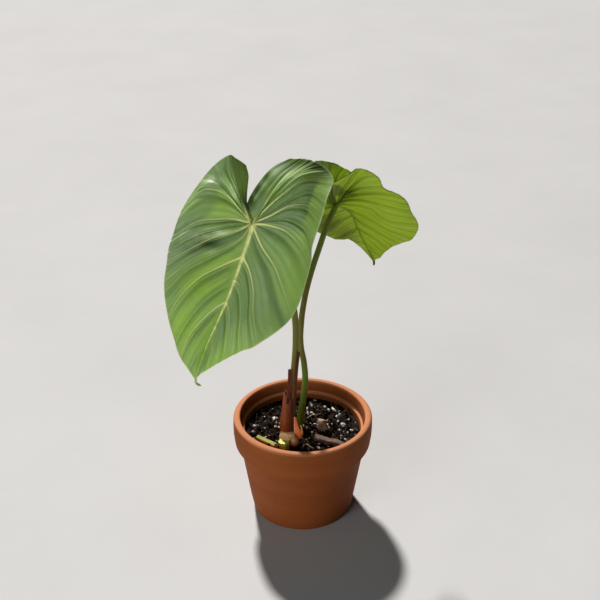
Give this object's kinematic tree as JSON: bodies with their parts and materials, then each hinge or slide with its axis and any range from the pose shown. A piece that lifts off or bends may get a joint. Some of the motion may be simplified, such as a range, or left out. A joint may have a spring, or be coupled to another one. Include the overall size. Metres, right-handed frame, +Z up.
{
  "type": "potted dean mcdowell philodendron",
  "caption": "Young heart-leaved philodendron in a terracotta pot: large waved leaves on slender stems that rise from a sheathed rhizome in dark potting mix with perlite and bark.",
  "frame": {"origin": "middle of the whole plant's outline, on the surface that the pot stands on", "axes": "+Z up, -Y towards the side that the large leaf faces, +X to the right seen from that side"},
  "size_m": [0.1998, 0.1824, 0.342],
  "materials": {
    "terracotta": "matte",
    "potting_mix": "matte",
    "perlite": "matte",
    "rhizome": "matte",
    "sheath": "matte",
    "stem": "satin",
    "leaf": "satin",
    "leaf_young": "satin",
    "cut_green": "satin",
    "bark": "matte",
    "root": "matte"
  },
  "bodies": {
    "root": {"pot": "terracotta", "soil": "potting_mix", "rhizome": "rhizome", "sheath": "sheath", "petiole_a": "stem", "petiole_b": "stem", "leaf_a": "leaf", "leaf_b": "leaf_young", "stalk_stub": "cut_green", "cut_stalk": "cut_green", "bark_chip": "bark", "bark_chip_long": "bark", "root_fibre": "root", "root_curl": "root"}
  },
  "joints": []
}
